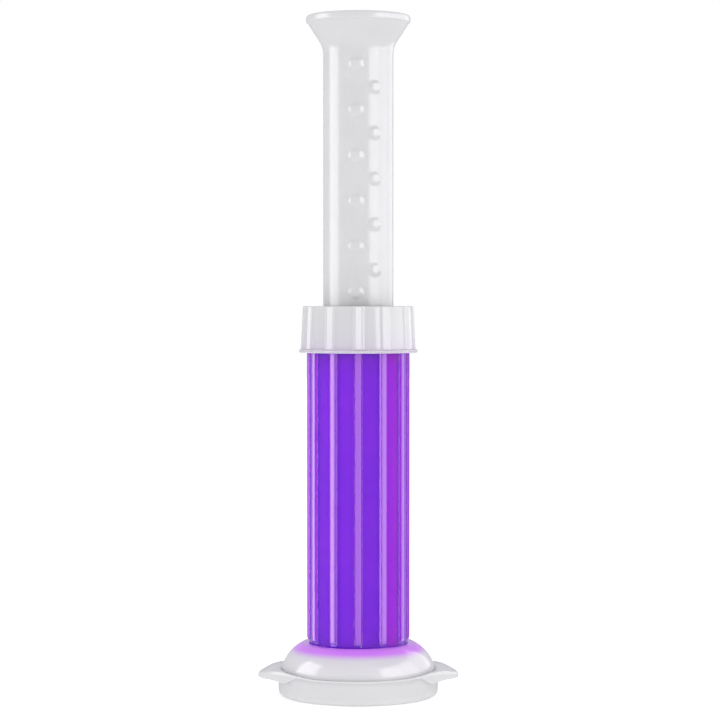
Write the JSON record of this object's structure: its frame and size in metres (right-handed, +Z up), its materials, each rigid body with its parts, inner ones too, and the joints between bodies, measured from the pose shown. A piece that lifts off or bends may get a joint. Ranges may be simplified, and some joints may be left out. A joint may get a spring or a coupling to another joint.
{
  "type": "gel stamp dispenser",
  "caption": "Syringe-type gel stamp dispenser: trumpet-ended push rod with dose bumps, ribbed clear barrel full of gel, domed stamp head and pull-off cap.",
  "frame": {"origin": "centre of the cap's flat underside, which the dispenser stands on", "axes": "+Z up along the barrel to the push rod's thumb end, -Y the front with the dose bumps, the cap's pull ears along X"},
  "size_m": [0.059, 0.047, 0.1994],
  "materials": {
    "cap_white": "soft translucent white, satin",
    "liner_foam": "closed-cell foam, matt",
    "head_white": "soft translucent white, half gloss",
    "nozzle_white": "natural white, satin",
    "clear_barrel": "clear, polished",
    "purple_gel": "glossy translucent gel",
    "collar_white": "white, glossy",
    "piston_soft": "soft natural white",
    "rod_white": "frosted translucent white, half gloss"
  },
  "bodies": {
    "cap": {"cap": "cap_white", "cap_liner": "liner_foam"},
    "barrel": {"barrel": "clear_barrel", "gel_column": "purple_gel", "collar": "collar_white", "stamp_head": "head_white", "petal_nozzle": "nozzle_white"},
    "plunger": {"push_rod": "rod_white", "piston": "piston_soft"}
  },
  "joints": [
    {"name": "cap_pull", "type": "slide", "parent": "cap", "child": "barrel", "axis": [0, 0, 1], "range_m": [0, 0.03]},
    {"name": "plunger_press", "type": "slide", "parent": "barrel", "child": "plunger", "axis": [0, 0, -1], "range_m": [0, 0.0734], "deforming": ["gel_column"]}
  ]
}
